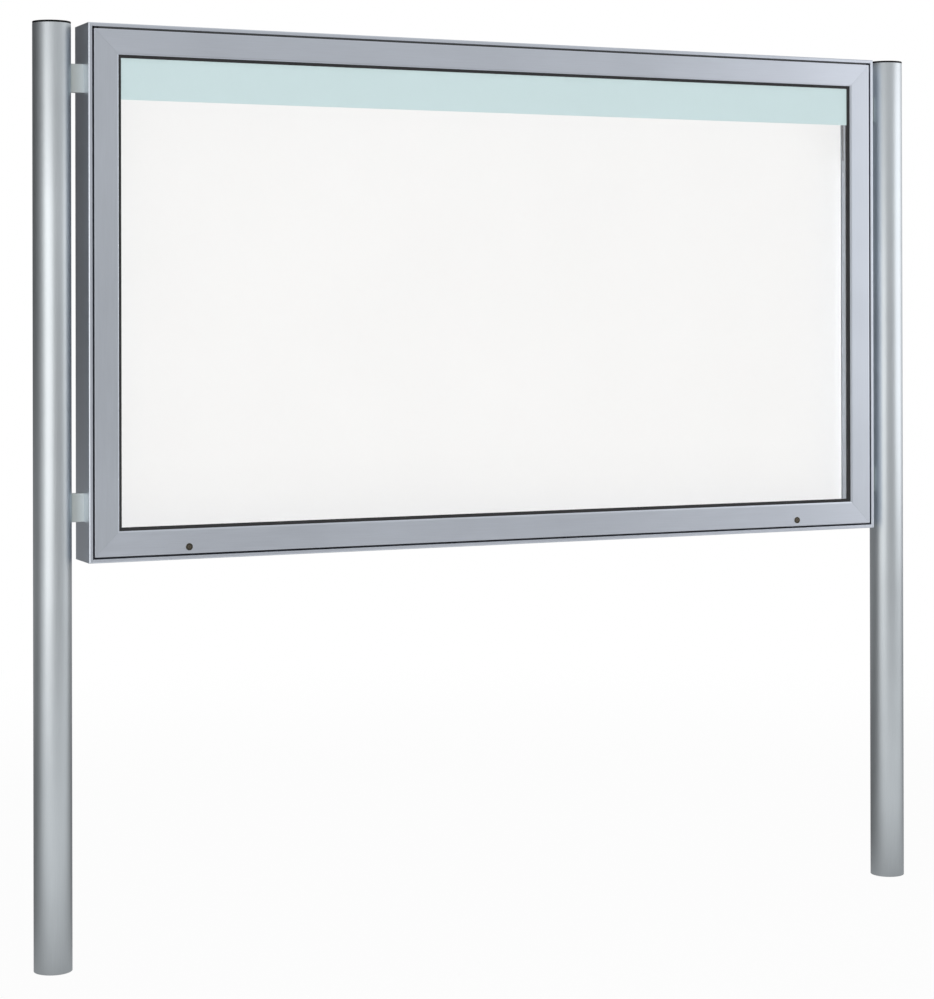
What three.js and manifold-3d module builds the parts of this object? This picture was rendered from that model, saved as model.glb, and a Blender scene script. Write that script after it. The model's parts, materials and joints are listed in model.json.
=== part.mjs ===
// Lockable notice board: an aluminium showcase with a top-hung glazed door, held between two round posts.
// Millimetres, +Z up, front towards -Y. The origin is on the ground, under the middle of the whole thing.

import * as THREE from 'three';
import { mergeVertices } from 'three/addons/utils/BufferGeometryUtils.js';
import Module from 'manifold-3d';

const wasm = await Module();
wasm.setup();

// Driving dimensions.

const fit = {
  clearance: 0.3, // between a piece and what it is cut to fit
  mitreGap: 0.2, // open line at each mitred corner
  overrun: 2, // how far a cutting body runs past the metal
};

const post = {
  diameter: 76,
  wall: 3,
  belowCaseTop: 2, // end of the tube, from the top of the showcase
  behindFront: 43.5, // post axis behind the face of the showcase
  sides: 48,
};

const cap = { flange: 4, edge: 1, skirt: 18, skirtWall: 2.5 };

const showcase = {
  width: 1842,
  height: 1070,
  depth: 100,
  aboveGround: 805.5,
};

// Case extrusion, read from its outer face inwards and from its front edge backwards.
const caseBar = {
  wall: 2.5,
  rim: 7.5, // face of the rim round the door
  rimDepth: 30,
  rimEdge: 1, // rounded front edges of the rim
  chamberStart: 9,
  chamberWall: 2,
  boxFront: 35.5,
  boxWidth: 34,
  boxToBack: 6, // back of the box chamber, from the back edge
  step: 1, // shallow step in the inner wall
  ledgeToBack: 15, // front of the ledge, from the back edge
  ledge: 10, // flange that carries the notice panel
  ledgeThick: 3,
};

const cleat = { leg: 70, thick: 4, play: 6.75 };

const backPanel = { thick: 2 };

const noticePanel = { thick: 3, play: 1 };

const spacer = {
  length: 25, // open width between case and post
  thick: 15,
  height: 57,
  fromEnd: 108.5, // its middle, from the top or bottom of the case
};

const bolt = { diameter: 6, headDiameter: 10, head: 6, reach: 5, access: 10.8, sides: 16 };

const hexagon = 6;

const door = {
  gap: 4, // open line between rim and door
  depth: 28,
  face: 50,
  wall: 2.5,
  outerBevel: 3,
  outerBevelDrop: 1.5,
  innerBevel: 4,
  innerBevelDrop: 2.5,
  lipThick: 4.5,
  boxWidth: 38,
};

const cornerKey = { leg: 70 };

const glass = { thick: 4, edgeCover: 8 };

const gasket = {
  front: 2, // packing between the door lip and the glass
  frontShow: 6.4, // black line that shows round the glass
  frontRise: 2.6,
  lipEdge: 0.6,
  rear: 2.5,
  rearShow: 1.5, // how far the rear packing shows past the front one
  cover: 8,
};

const bead = { width: 13.5, wall: 1.5 };

const header = { thick: 0.5, height: 96, cover: 7 };

const seal = { thick: 3, depth: 3.5 };

const hinge = {
  pinDiameter: 1.6,
  bore: 2.1,
  barrel: 3.7,
  behindFront: 2.2,
  leaf: 0.8,
  leafDepth: 20,
  fromDoorSide: 9.5, // each end of the hinge, from the side of the door
  knuckles: 18,
  knuckleGap: 0.6,
  sides: 12,
};

const lock = {
  fromDoorSide: 194.5,
  aboveDoorEdge: 13.5,
  bezelDiameter: 14.5,
  bezelProud: 1,
  bezelEdge: 0.4,
  bodyDiameter: 12,
  plugDiameter: 8,
  plugProud: 0.4,
  keyway: 0.9,
  keywayHeight: 4.6,
  keywayDepth: 4,
  nut: 16,
  nutThick: 3,
  bodyPastNut: 0.3,
  camThick: 2,
  camReach: 20.5,
  camWidth: 9,
  camHub: 12,
  tail: 6,
  screwHead: 9,
  screwHeadThick: 1.2,
  sides: 24,
};

const striker = { length: 60, thick: 1.2, rise: 7, foot: 5 };

// The gas stays, given at rest: their two pivots behind and below the hinge line.
const stay = {
  casePivotBack: 46,
  casePivotDown: 70,
  doorPivotBack: 44,
  doorPivotDown: 252,
  fromWall: 11, // stay axis inside the inner wall of the case
  tubeDiameter: 15,
  tubeWall: 1.5,
  tubeLength: 136,
  tubeStart: 14,
  neck: 10,
  rodDiameter: 6,
  piston: 5,
  eyeDiameter: 14,
  eyeWidth: 8,
  eyeNeck: 6,
  rodEyeNeck: 16,
  pinDiameter: 7,
  sides: 16,
};

const stayBracket = {
  thick: 2.5,
  width: 26,
  height: 34,
  ear: 16,
  gap: 0.5, // between the rod's eye and the ear of the door bracket
  footWidth: 24,
  boss: 2,
};

// Places worked out from the driving dimensions.

const wholeDepth = showcase.depth + lock.bezelProud;
const frontY = -wholeDepth / 2 + lock.bezelProud;
const postY = frontY + post.behindFront;
const postTop = showcase.aboveGround + showcase.height - post.belowCaseTop;
const postRadius = post.diameter / 2;
const caseHalf = { x: showcase.width / 2, z: showcase.height / 2 };
const postX = caseHalf.x + spacer.length + postRadius;
const middleZ = showcase.aboveGround + caseHalf.z;
const doorInset = caseBar.rim + door.gap;
const doorHalf = { x: caseHalf.x - doorInset, z: caseHalf.z - doorInset };
const glassFront = door.lipThick + gasket.front;
const glassBack = glassFront + glass.thick;
const beadFront = glassBack + gasket.rear;
const innerWallX = caseHalf.x - caseBar.boxWidth;
const boxBack = showcase.depth - caseBar.boxToBack;
const ledgeFront = showcase.depth - caseBar.ledgeToBack;
const doorBackY = frontY + door.depth;
const hingeLength = 2 * (doorHalf.x - hinge.fromDoorSide);
const hingeLine = { y: frontY + hinge.behindFront, z: middleZ + doorHalf.z + door.gap / 2 };
const lockX = doorHalf.x - lock.fromDoorSide;
const lockZ = middleZ - doorHalf.z + lock.aboveDoorEdge;
const lockBore = lock.bodyDiameter + 2 * fit.clearance;
const lockBodyBack = door.depth + lock.nutThick + lock.bodyPastNut;
const camFront = lockBodyBack + fit.clearance;
const casePivot = { y: hingeLine.y + stay.casePivotBack, z: hingeLine.z - stay.casePivotDown };
const doorPivot = { y: hingeLine.y + stay.doorPivotBack, z: hingeLine.z - stay.doorPivotDown };
const caseBracketBack = casePivot.y + stayBracket.width / 2;
const stepBack = (caseBracketBack - frontY + ledgeFront) / 2;

// Colours and finishes.

const finish = {
  silver: new THREE.MeshStandardMaterial({ color: 0xb4bcc4, roughness: 0.45, metalness: 0.9 }),
  post: new THREE.MeshStandardMaterial({ color: 0xb9c1c4, roughness: 0.35, metalness: 0.9 }),
  spacer: new THREE.MeshStandardMaterial({ color: 0xb0bab8, roughness: 0.5, metalness: 0.8 }),
  sheet: new THREE.MeshStandardMaterial({ color: 0xa9b1b5, roughness: 0.5, metalness: 0.8 }),
  board: new THREE.MeshStandardMaterial({ color: 0xf5f4f3, roughness: 0.4, metalness: 0 }),
  glass: new THREE.MeshStandardMaterial({ color: 0xe8f0ee, roughness: 0.02, metalness: 0 }),
  header: new THREE.MeshStandardMaterial({ color: 0xc8dce0, roughness: 0.3, metalness: 0 }),
  rubber: new THREE.MeshStandardMaterial({ color: 0x1c1c1e, roughness: 0.7, metalness: 0 }),
  plastic: new THREE.MeshStandardMaterial({ color: 0x141415, roughness: 0.5, metalness: 0 }),
  steel: new THREE.MeshStandardMaterial({ color: 0x9aa0a4, roughness: 0.3, metalness: 1 }),
  darkSteel: new THREE.MeshStandardMaterial({ color: 0x2b2d30, roughness: 0.45, metalness: 0.8 }),
  lockBrass: new THREE.MeshStandardMaterial({ color: 0x7a6a52, roughness: 0.35, metalness: 0.9 }),
};

const part = new THREE.Group();

function place(name, geometry, material) {
  const mesh = new THREE.Mesh(geometry, material);
  mesh.name = name;
  part.add(mesh);
  return mesh;
}

// Solids: joins and cuts.

function solidOf(geometry) {
  const bare = geometry.clone();
  bare.deleteAttribute('normal');
  bare.deleteAttribute('uv');
  const merged = mergeVertices(bare);
  const vertProperties = new Float32Array(merged.attributes.position.array);
  const triVerts = new Uint32Array(merged.index.array);
  return new wasm.Manifold(new wasm.Mesh({ numProp: 3, vertProperties, triVerts }));
}

function geometryOf(solid) {
  const mesh = solid.getMesh();
  const geometry = new THREE.BufferGeometry();
  geometry.setAttribute('position', new THREE.BufferAttribute(new Float32Array(mesh.vertProperties), 3));
  geometry.setIndex(new THREE.BufferAttribute(new Uint32Array(mesh.triVerts), 1));
  return geometry;
}

function cut(geometry, ...tools) {
  return geometryOf(tools.reduce((solid, tool) => solid.subtract(solidOf(tool)), solidOf(geometry)));
}

function join(...pieces) {
  return geometryOf(pieces.slice(1).reduce((solid, piece) => solid.add(solidOf(piece)), solidOf(pieces[0])));
}

function block(x, y, z) {
  const geometry = new THREE.BoxGeometry(x[1] - x[0], y[1] - y[0], z[1] - z[0]);
  return geometry.translate((x[0] + x[1]) / 2, (y[0] + y[1]) / 2, (z[0] + z[1]) / 2);
}

function around(centre, half) {
  return [centre - half, centre + half];
}

// A span given outwards from the middle, on the left or the right of it.
function outwards(sign, near, far) {
  return sign > 0 ? [near, far] : [-far, -near];
}

// A round bar along X, Y or Z between two places on that axis.
function roundBar(axis, diameter, span, centre, sides) {
  const geometry = new THREE.CylinderGeometry(diameter / 2, diameter / 2, span[1] - span[0], sides);
  geometry.translate(0, (span[0] + span[1]) / 2, 0);
  if (axis === 'x') geometry.rotateZ(-Math.PI / 2);
  if (axis === 'z') geometry.rotateX(Math.PI / 2);
  return geometry.translate(...centre);
}

// A turned piece about the Y axis; each profile point is a radius and a place along the axis.
function turned(profile, sides) {
  return new THREE.LatheGeometry(profile.map(([r, y]) => new THREE.Vector2(r, y)), sides);
}

// Turns a piece's outside out where its triangles came inside out.
function facingOut(positions, index) {
  const a = new THREE.Vector3();
  const b = new THREE.Vector3();
  const c = new THREE.Vector3();
  let volume = 0;
  for (let i = 0; i < index.length; i += 3) {
    a.fromArray(positions, index[i] * 3);
    b.fromArray(positions, index[i + 1] * 3);
    c.fromArray(positions, index[i + 2] * 3);
    volume += a.dot(b.cross(c));
  }
  if (volume < 0) index.reverse();
  const geometry = new THREE.BufferGeometry();
  geometry.setAttribute('position', new THREE.Float32BufferAttribute(positions, 3));
  geometry.setIndex(index);
  return geometry;
}

// Where a point of a bar's section lies on one side of a rectangular frame.
// The section reads inwards from the outer edge and backwards from the front face.
function frameCorner(half, inwards, depth, signX, signZ, endGap = [0, 0]) {
  return [
    signX * (half.x - inwards - endGap[0]),
    frontY + depth,
    middleZ + signZ * (half.z - inwards - endGap[1]),
  ];
}

const ends = { left: -1, right: 1 };
const levels = { lower: -1, upper: 1 };
const sideCorners = {
  top: [[-1, 1], [1, 1]],
  bottom: [[-1, -1], [1, -1]],
  left: [[-1, -1], [-1, 1]],
  right: [[1, -1], [1, 1]],
};

// A loop of section points, turned to run clockwise or the other way.
function running(loop, clockwise) {
  const points = loop.map(([inwards, depth]) => new THREE.Vector2(inwards, depth));
  return THREE.ShapeUtils.isClockWise(points) === clockwise ? points : points.reverse();
}

// One mitred side of a rectangular frame, with a hollow for each opening in its section.
function mitredSide(half, side, outline, openings = []) {
  const outer = running(outline, false);
  const hollows = openings.map((opening) => running(opening, true));
  const loops = [outer, ...hollows];
  const points = loops.flat();
  const endGap = side in ends ? [0, fit.mitreGap / 2] : [fit.mitreGap / 2, 0];
  const positions = sideCorners[side].flatMap(([signX, signZ]) =>
    points.flatMap((point) => frameCorner(half, point.x, point.y, signX, signZ, endGap)));
  const far = points.length;
  const index = THREE.ShapeUtils.triangulateShape(outer, hollows).flatMap(([a, b, c]) =>
    [a, b, c, far + a, far + c, far + b]);
  let first = 0;
  for (const loop of loops) {
    for (let i = 0; i < loop.length; i += 1) {
      const here = first + i;
      const next = first + ((i + 1) % loop.length);
      index.push(next, here, far + here, next, far + here, far + next);
    }
    first += loop.length;
  }
  return facingOut(positions, index);
}

// A closed rectangular ring of one section, such as a gasket.
function ring(half, outline) {
  const corners = [[-1, -1], [1, -1], [1, 1], [-1, 1]];
  const positions = corners.flatMap(([signX, signZ]) =>
    outline.flatMap(([inwards, depth]) => frameCorner(half, inwards, depth, signX, signZ)));
  const index = [];
  const count = outline.length;
  for (let corner = 0; corner < corners.length; corner += 1) {
    const here = corner * count;
    const next = ((corner + 1) % corners.length) * count;
    for (let i = 0; i < count; i += 1) {
      const j = (i + 1) % count;
      index.push(here + i, here + j, next + j, here + i, next + j, next + i);
    }
  }
  return facingOut(positions, index);
}

function rectangle(u, v) {
  return [[u[0], v[0]], [u[1], v[0]], [u[1], v[1]], [u[0], v[1]]];
}

// Posts and their caps.

function boltHeights() {
  const reach = caseHalf.z - spacer.fromEnd;
  return { lower: middleZ - reach, upper: middleZ + reach };
}

function boltBore(span, z) {
  return roundBar('x', bolt.diameter + 2 * fit.clearance, span, [0, postY, z], bolt.sides);
}

function postTube(sign) {
  const inner = postRadius - post.wall;
  const profile = [[inner, 0], [postRadius, 0], [postRadius, postTop], [inner, postTop], [inner, 0]];
  const tube = turned(profile, post.sides);
  tube.rotateX(Math.PI / 2);
  tube.translate(sign * postX, postY, 0);
  const span = outwards(sign, postX - postRadius - fit.overrun, postX - inner + fit.overrun);
  return cut(tube, ...Object.values(boltHeights()).map((z) => boltBore(span, z)));
}

function postCap(sign) {
  const inner = postRadius - post.wall - fit.clearance;
  const top = postTop + cap.flange;
  const skirtFoot = postTop - cap.skirt;
  const profile = [
    [0, postTop],
    [inner - cap.skirtWall, postTop],
    [inner - cap.skirtWall, skirtFoot],
    [inner, skirtFoot],
    [inner, postTop],
    [postRadius, postTop],
    [postRadius, top - cap.edge],
    [postRadius - cap.edge, top],
    [0, top],
  ];
  const geometry = turned(profile, post.sides);
  geometry.rotateX(Math.PI / 2);
  return geometry.translate(sign * postX, postY, 0);
}

for (const [end, sign] of Object.entries(ends)) {
  place(`post_${end}`, postTube(sign), finish.post);
  place(`post_cap_${end}`, postCap(sign), finish.plastic);
}

// Spacers between posts and case, each with its bolt.

function spacerBlock(sign, z) {
  const span = outwards(sign, caseHalf.x, postX);
  const height = around(0, spacer.height);
  const centre = [sign * postX, postY, z];
  const body = block(span, around(postY, spacer.thick / 2), around(z, spacer.height / 2));
  const tube = roundBar('z', post.diameter + 2 * fit.clearance, height, centre, post.sides);
  return cut(body, tube, boltBore(outwards(sign, caseHalf.x - fit.overrun, postX), z));
}

function spacerBolt(sign, z) {
  const seat = caseHalf.x - caseBar.wall;
  const tip = postX - postRadius + post.wall + bolt.reach;
  const shank = roundBar('x', bolt.diameter, outwards(sign, seat, tip), [0, postY, z], bolt.sides);
  const headSpan = outwards(sign, seat - bolt.head, seat);
  const head = roundBar('x', bolt.headDiameter, headSpan, [0, postY, z], hexagon);
  return join(shank, head);
}

for (const [end, sign] of Object.entries(ends)) {
  for (const [level, z] of Object.entries(boltHeights())) {
    place(`spacer_${level}_${end}`, spacerBlock(sign, z), finish.spacer);
    place(`spacer_bolt_${level}_${end}`, spacerBolt(sign, z), finish.steel);
  }
}

// Case: four mitred extrusions with a rim chamber and a box chamber.

function caseOutline() {
  const inner = caseBar.boxWidth;
  const lowInner = inner - caseBar.step;
  return [
    [caseBar.rimEdge, 0],
    [caseBar.rim - caseBar.rimEdge / 2, 0],
    [caseBar.rim, caseBar.rimEdge / 2],
    [caseBar.rim, caseBar.rimDepth],
    [caseBar.wall, caseBar.rimDepth],
    [caseBar.wall, caseBar.boxFront],
    [lowInner, caseBar.boxFront],
    [lowInner, stepBack],
    [inner, stepBack],
    [inner, ledgeFront],
    [inner + caseBar.ledge, ledgeFront],
    [inner + caseBar.ledge, ledgeFront + caseBar.ledgeThick],
    [inner, ledgeFront + caseBar.ledgeThick],
    [inner, boxBack],
    [caseBar.wall, boxBack],
    [caseBar.wall, showcase.depth],
    [0, showcase.depth],
    [0, caseBar.rimEdge],
  ];
}

function caseChambers() {
  const rimInner = caseBar.rim - caseBar.chamberWall;
  const lowInner = caseBar.boxWidth - caseBar.step - caseBar.wall;
  return [
    rectangle([caseBar.wall, rimInner], [caseBar.chamberStart, caseBar.rimDepth - caseBar.chamberWall]),
    rectangle([caseBar.wall, lowInner], [caseBar.boxFront + caseBar.wall, boxBack - caseBar.wall]),
  ];
}

// Bolt holes through the outer wall, and the access holes opposite them.
function caseBoltHoles(sign) {
  const chamber = caseHalf.x - caseBar.wall - fit.overrun;
  const beyond = innerWallX - fit.overrun;
  return Object.values(boltHeights()).flatMap((z) => [
    boltBore(outwards(sign, chamber, caseHalf.x + fit.overrun), z),
    roundBar('x', bolt.access, outwards(sign, beyond, chamber), [0, postY, z], bolt.sides),
  ]);
}

for (const side of Object.keys(sideCorners)) {
  const bar = mitredSide(caseHalf, side, caseOutline(), caseChambers());
  const geometry = side in ends ? cut(bar, ...caseBoltHoles(ends[side])) : bar;
  place(`case_${side}`, geometry, finish.silver);
}

// Steel cleats inside the box chamber pull the case corners together.

// An L-shaped piece filling a corner of a frame, its outer faces a given distance inside the frame's own.
function elbow(half, inset, signX, signZ, leg, width, depths) {
  const outline = [[0, 0], [leg, 0], [leg, width], [width, width], [width, leg], [0, leg]];
  const shape = new THREE.Shape(outline.map(([u, v]) => new THREE.Vector2(u, v)));
  const geometry = new THREE.ExtrudeGeometry(shape, { depth: depths[1] - depths[0], bevelEnabled: false });
  const source = Array.from(geometry.attributes.position.array);
  const corners = source.map((_, i) => i).filter((i) => i % 3 === 0);
  const positions = corners.flatMap((i) => {
    const [u, v, back] = source.slice(i, i + 3);
    return frameCorner(half, 0, depths[0] + back, signX, signZ, [inset + u, inset + v]);
  });
  return facingOut(positions, corners.map((_, number) => number));
}

const cleatDepths = [caseBar.boxFront + caseBar.wall + cleat.play, boxBack - caseBar.wall - cleat.play];
for (const [level, signZ] of Object.entries(levels)) {
  for (const [end, signX] of Object.entries(ends)) {
    const inset = caseBar.wall + fit.clearance;
    const geometry = elbow(caseHalf, inset, signX, signZ, cleat.leg, cleat.thick, cleatDepths);
    place(`case_cleat_${level}_${end}`, geometry, finish.steel);
  }
}

// Back sheet and the white notice panel.

function frameSheet(half, inwards, front, thick) {
  const x = half.x - inwards;
  const z = half.z - inwards;
  return block(around(0, x), [frontY + front, frontY + front + thick], around(middleZ, z));
}

const backInset = caseBar.wall + fit.clearance;
place('back_panel', frameSheet(caseHalf, backInset, boxBack, backPanel.thick), finish.sheet);

const noticeInset = caseBar.boxWidth + noticePanel.play;
const noticeFront = ledgeFront - noticePanel.thick;
place('notice_panel', frameSheet(caseHalf, noticeInset, noticeFront, noticePanel.thick), finish.board);

// Draught seal in the line between rim and door, deep behind the hinge leaves.

const sealSection = rectangle([caseBar.rim, caseBar.rim + seal.thick], [door.depth - seal.depth, door.depth]);
place('door_seal', ring(caseHalf, sealSection), finish.rubber);

// Door: four mitred extrusions.

function doorOutline() {
  return [
    [door.outerBevel, 0],
    [door.face - door.innerBevel, 0],
    [door.face, door.innerBevelDrop],
    [door.face, door.lipThick],
    [door.boxWidth, door.lipThick],
    [door.boxWidth, door.depth],
    [0, door.depth],
    [0, door.outerBevelDrop],
  ];
}

function doorChamber() {
  return rectangle([door.wall, door.boxWidth - door.wall], [door.wall, door.depth - door.wall]);
}

function lockHole(sign) {
  const span = [frontY - fit.overrun, doorBackY + fit.overrun];
  return roundBar('y', lockBore, span, [sign * lockX, 0, lockZ], lock.sides);
}

const doorBarNames = {
  top: 'door_rail_top',
  bottom: 'door_rail_bottom',
  left: 'door_stile_left',
  right: 'door_stile_right',
};
for (const [side, name] of Object.entries(doorBarNames)) {
  const bar = mitredSide(doorHalf, side, doorOutline(), [doorChamber()]);
  const geometry = side === 'bottom' ? cut(bar, lockHole(ends.left), lockHole(ends.right)) : bar;
  place(name, geometry, finish.silver);
}

for (const [level, signZ] of Object.entries(levels)) {
  for (const [end, signX] of Object.entries(ends)) {
    const inset = door.wall + fit.clearance;
    const width = door.boxWidth - 2 * inset;
    const depths = [inset, door.depth - inset];
    const geometry = elbow(doorHalf, inset, signX, signZ, cornerKey.leg, width, depths);
    place(`door_key_${level}_${end}`, geometry, finish.steel);
  }
}

// Glazing: glass, packings, beads and the header strip behind the glass.

const glassInset = door.face - glass.edgeCover;
place('door_glass', frameSheet(doorHalf, glassInset, glassFront, glass.thick), finish.glass);

const packingInset = door.face - gasket.cover;
const frontEdge = door.face + gasket.frontShow;
place(
  'gasket_front',
  ring(doorHalf, [
    [packingInset, door.lipThick],
    [door.face + fit.clearance, door.lipThick],
    [door.face + fit.clearance, glassFront - gasket.frontRise],
    [frontEdge, glassFront - gasket.lipEdge],
    [frontEdge, glassFront],
    [packingInset, glassFront],
  ]),
  finish.rubber,
);

const headerInset = door.face - header.cover;
const headerTop = middleZ + doorHalf.z - headerInset;
const headerSpan = {
  x: around(0, doorHalf.x - headerInset),
  z: [headerTop - header.height, headerTop],
};
place(
  'header_strip',
  block(headerSpan.x, [frontY + glassBack, frontY + glassBack + header.thick], headerSpan.z),
  finish.header,
);

const headerRoom = block(
  [headerSpan.x[0] - fit.clearance, headerSpan.x[1] + fit.clearance],
  [frontY + glassBack - fit.overrun, frontY + glassBack + header.thick + fit.clearance],
  [headerSpan.z[0] - fit.clearance, headerSpan.z[1] + fit.clearance],
);
const rearSection = rectangle([packingInset, frontEdge + gasket.rearShow], [glassBack, beadFront]);
place('gasket_rear', cut(ring(doorHalf, rearSection), headerRoom), finish.rubber);

const beadEdge = door.boxWidth + fit.clearance;
for (const side of Object.keys(sideCorners)) {
  const outer = [beadEdge, beadEdge + bead.width];
  const inner = [outer[0] + bead.wall, outer[1] - bead.wall];
  const chamber = rectangle(inner, [beadFront + bead.wall, door.depth - bead.wall]);
  const bar = mitredSide(doorHalf, side, rectangle(outer, [beadFront, door.depth]), [chamber]);
  place(`glazing_bead_${side}`, bar, finish.silver);
}

// Continuous hinge in the top line between rim and door; each leaf owns every second knuckle.

function hingeLeaf(firstKnuckle, up) {
  const radius = hinge.barrel / 2;
  const pitch = hingeLength / hinge.knuckles;
  const start = -hingeLength / 2;
  const middle = hingeLine.z + up * (radius - hinge.leaf / 2);
  const z = around(middle, hinge.leaf / 2);
  const plateFront = hingeLine.y + radius + fit.clearance;
  const pieces = [block(around(0, hingeLength / 2), [plateFront, plateFront + hinge.leafDepth], z)];
  for (let k = firstKnuckle; k < hinge.knuckles; k += 2) {
    const span = around(start + (k + 1 / 2) * pitch, (pitch - hinge.knuckleGap) / 2);
    pieces.push(roundBar('x', hinge.barrel, span, [0, hingeLine.y, hingeLine.z], hinge.sides));
    pieces.push(block(span, [hingeLine.y, plateFront + hinge.leaf], z));
  }
  const bore = roundBar('x', hinge.bore, around(0, hingeLength), [0, hingeLine.y, hingeLine.z], hinge.sides);
  return cut(join(...pieces), bore);
}

place('hinge_leaf_case', hingeLeaf(0, 1), finish.darkSteel);
place('hinge_leaf_door', hingeLeaf(1, -1), finish.darkSteel);
place(
  'hinge_pin',
  roundBar('x', hinge.pinDiameter, around(0, hingeLength / 2), [0, hingeLine.y, hingeLine.z], hinge.sides),
  finish.steel,
);

// Locks in the bottom rail: body, nut, plug and cam, and the keeper on the case.

const atAxis = [0, 0, 0];

function lockBody() {
  const bore = lock.plugDiameter / 2 + fit.clearance;
  const bezel = lock.bezelDiameter / 2;
  return turned([
    [bore, -lock.bezelProud],
    [bezel - lock.bezelEdge, -lock.bezelProud],
    [bezel, -lock.bezelProud + lock.bezelEdge],
    [bezel, 0],
    [lock.bodyDiameter / 2, 0],
    [lock.bodyDiameter / 2, lockBodyBack],
    [bore, lockBodyBack],
    [bore, -lock.bezelProud],
  ], lock.sides);
}

function lockPlug() {
  const radius = lock.plugDiameter / 2;
  const camBack = camFront + lock.camThick + fit.clearance;
  const plug = turned([
    [0, -lock.plugProud],
    [radius, -lock.plugProud],
    [radius, camFront - fit.clearance],
    [lock.tail / 2, camFront - fit.clearance],
    [lock.tail / 2, camBack],
    [lock.screwHead / 2, camBack],
    [lock.screwHead / 2, camBack + lock.screwHeadThick],
    [0, camBack + lock.screwHeadThick],
  ], lock.sides);
  const slot = block(
    around(0, lock.keyway / 2),
    [-lock.plugProud - fit.overrun, lock.keywayDepth],
    around(0, lock.keywayHeight / 2),
  );
  return cut(plug, slot);
}

function lockNut() {
  const hex = roundBar('y', lock.nut, [door.depth, door.depth + lock.nutThick], atAxis, hexagon);
  return cut(hex, roundBar('y', lockBore, around(door.depth, door.depth), atAxis, lock.sides));
}

// At rest the cam lies level, towards +X; a quarter turn points it down behind its keeper.
function lockCam() {
  const y = [camFront, camFront + lock.camThick];
  const hub = roundBar('y', lock.camHub, y, atAxis, lock.sides);
  const arm = block([0, lock.camReach], y, around(0, lock.camWidth / 2));
  const hole = roundBar('y', lock.tail + 2 * fit.clearance, around(y[0], door.depth), atAxis, lock.sides);
  return cut(join(hub, arm), hole);
}

function strikerAngle(x) {
  const foot = middleZ - caseHalf.z + caseBar.wall;
  const front = frontY + caseBar.rimDepth;
  const span = around(x, striker.length / 2);
  return join(
    block(span, [front, front + striker.thick], [foot, foot + striker.rise]),
    block(span, [front, front + striker.foot], [foot, foot + striker.thick]),
  );
}

for (const [end, sign] of Object.entries(ends)) {
  const x = sign * lockX;
  const pieces = [
    [`lock_body_${end}`, lockBody(), finish.darkSteel],
    [`lock_nut_${end}`, lockNut(), finish.steel],
    [`lock_plug_${end}`, lockPlug(), finish.lockBrass],
    [`lock_cam_${end}`, lockCam(), finish.steel],
  ];
  for (const [name, geometry, material] of pieces) {
    place(name, geometry.translate(x, frontY, lockZ), material);
  }
  place(`striker_${end}`, strikerAngle(x), finish.steel);
}

// Gas stays behind the stiles: the tube turns on the case, the rod runs out of it to the door.

const stayLength = Math.hypot(doorPivot.y - casePivot.y, doorPivot.z - casePivot.z);
const stayTilt = Math.atan2(doorPivot.y - casePivot.y, casePivot.z - doorPivot.z);
const tubeMouth = stay.tubeStart + stay.tubeLength;
const stayX = innerWallX - stay.fromWall;

function hanging(geometry, sign) {
  geometry.rotateX(-Math.PI / 2);
  geometry.rotateX(stayTilt);
  return geometry.translate(sign * stayX, casePivot.y, casePivot.z);
}

function eye(along) {
  return roundBar('x', stay.eyeDiameter, around(0, stay.eyeWidth / 2), [0, along, 0], stay.sides);
}

function eyeHole(along) {
  const diameter = stay.pinDiameter + 2 * fit.clearance;
  return roundBar('x', diameter, around(0, stay.eyeWidth), [0, along, 0], stay.sides);
}

function stayTube() {
  const outer = stay.tubeDiameter / 2;
  const inner = outer - stay.tubeWall;
  const mouth = stay.rodDiameter / 2 + fit.clearance;
  const tube = turned([
    [0, stay.tubeStart],
    [outer, stay.tubeStart],
    [outer, tubeMouth],
    [mouth, tubeMouth],
    [mouth, tubeMouth - stay.neck],
    [inner, tubeMouth - stay.neck],
    [inner, stay.tubeStart + stay.tubeWall],
    [0, stay.tubeStart + stay.tubeWall],
  ], stay.sides);
  const neck = roundBar('y', stay.eyeNeck, [0, stay.tubeStart + stay.tubeWall / 2], atAxis, stay.sides);
  return cut(join(tube, eye(0), neck), eyeHole(0));
}

function stayRod() {
  const pistonTop = stay.tubeStart + stay.tubeWall + stay.piston;
  const pistonRadius = stay.tubeDiameter / 2 - stay.tubeWall - fit.clearance;
  const rod = turned([
    [0, pistonTop],
    [pistonRadius, pistonTop],
    [pistonRadius, pistonTop + stay.piston],
    [stay.rodDiameter / 2, pistonTop + stay.piston],
    [stay.rodDiameter / 2, stayLength],
    [0, stayLength],
  ], stay.sides);
  const socket = roundBar('y', stay.eyeWidth, [stayLength - stay.rodEyeNeck, stayLength], atAxis, stay.sides);
  return cut(join(rod, socket, eye(stayLength)), eyeHole(stayLength));
}

// A plate on the inner wall of the case with the pin that the tube turns on.
function caseStayBracket(sign) {
  const wall = innerWallX + caseBar.step;
  const plateIn = wall - stayBracket.thick;
  const pinEnd = stayX - stay.eyeWidth / 2 - stayBracket.gap;
  const depths = [frontY + caseBar.boxFront, caseBracketBack];
  const plate = block(outwards(sign, plateIn, wall), depths, around(casePivot.z, stayBracket.height / 2));
  const span = outwards(sign, pinEnd, wall - fit.clearance);
  return join(plate, roundBar('x', stay.pinDiameter, span, [0, casePivot.y, casePivot.z], stay.sides));
}

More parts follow.
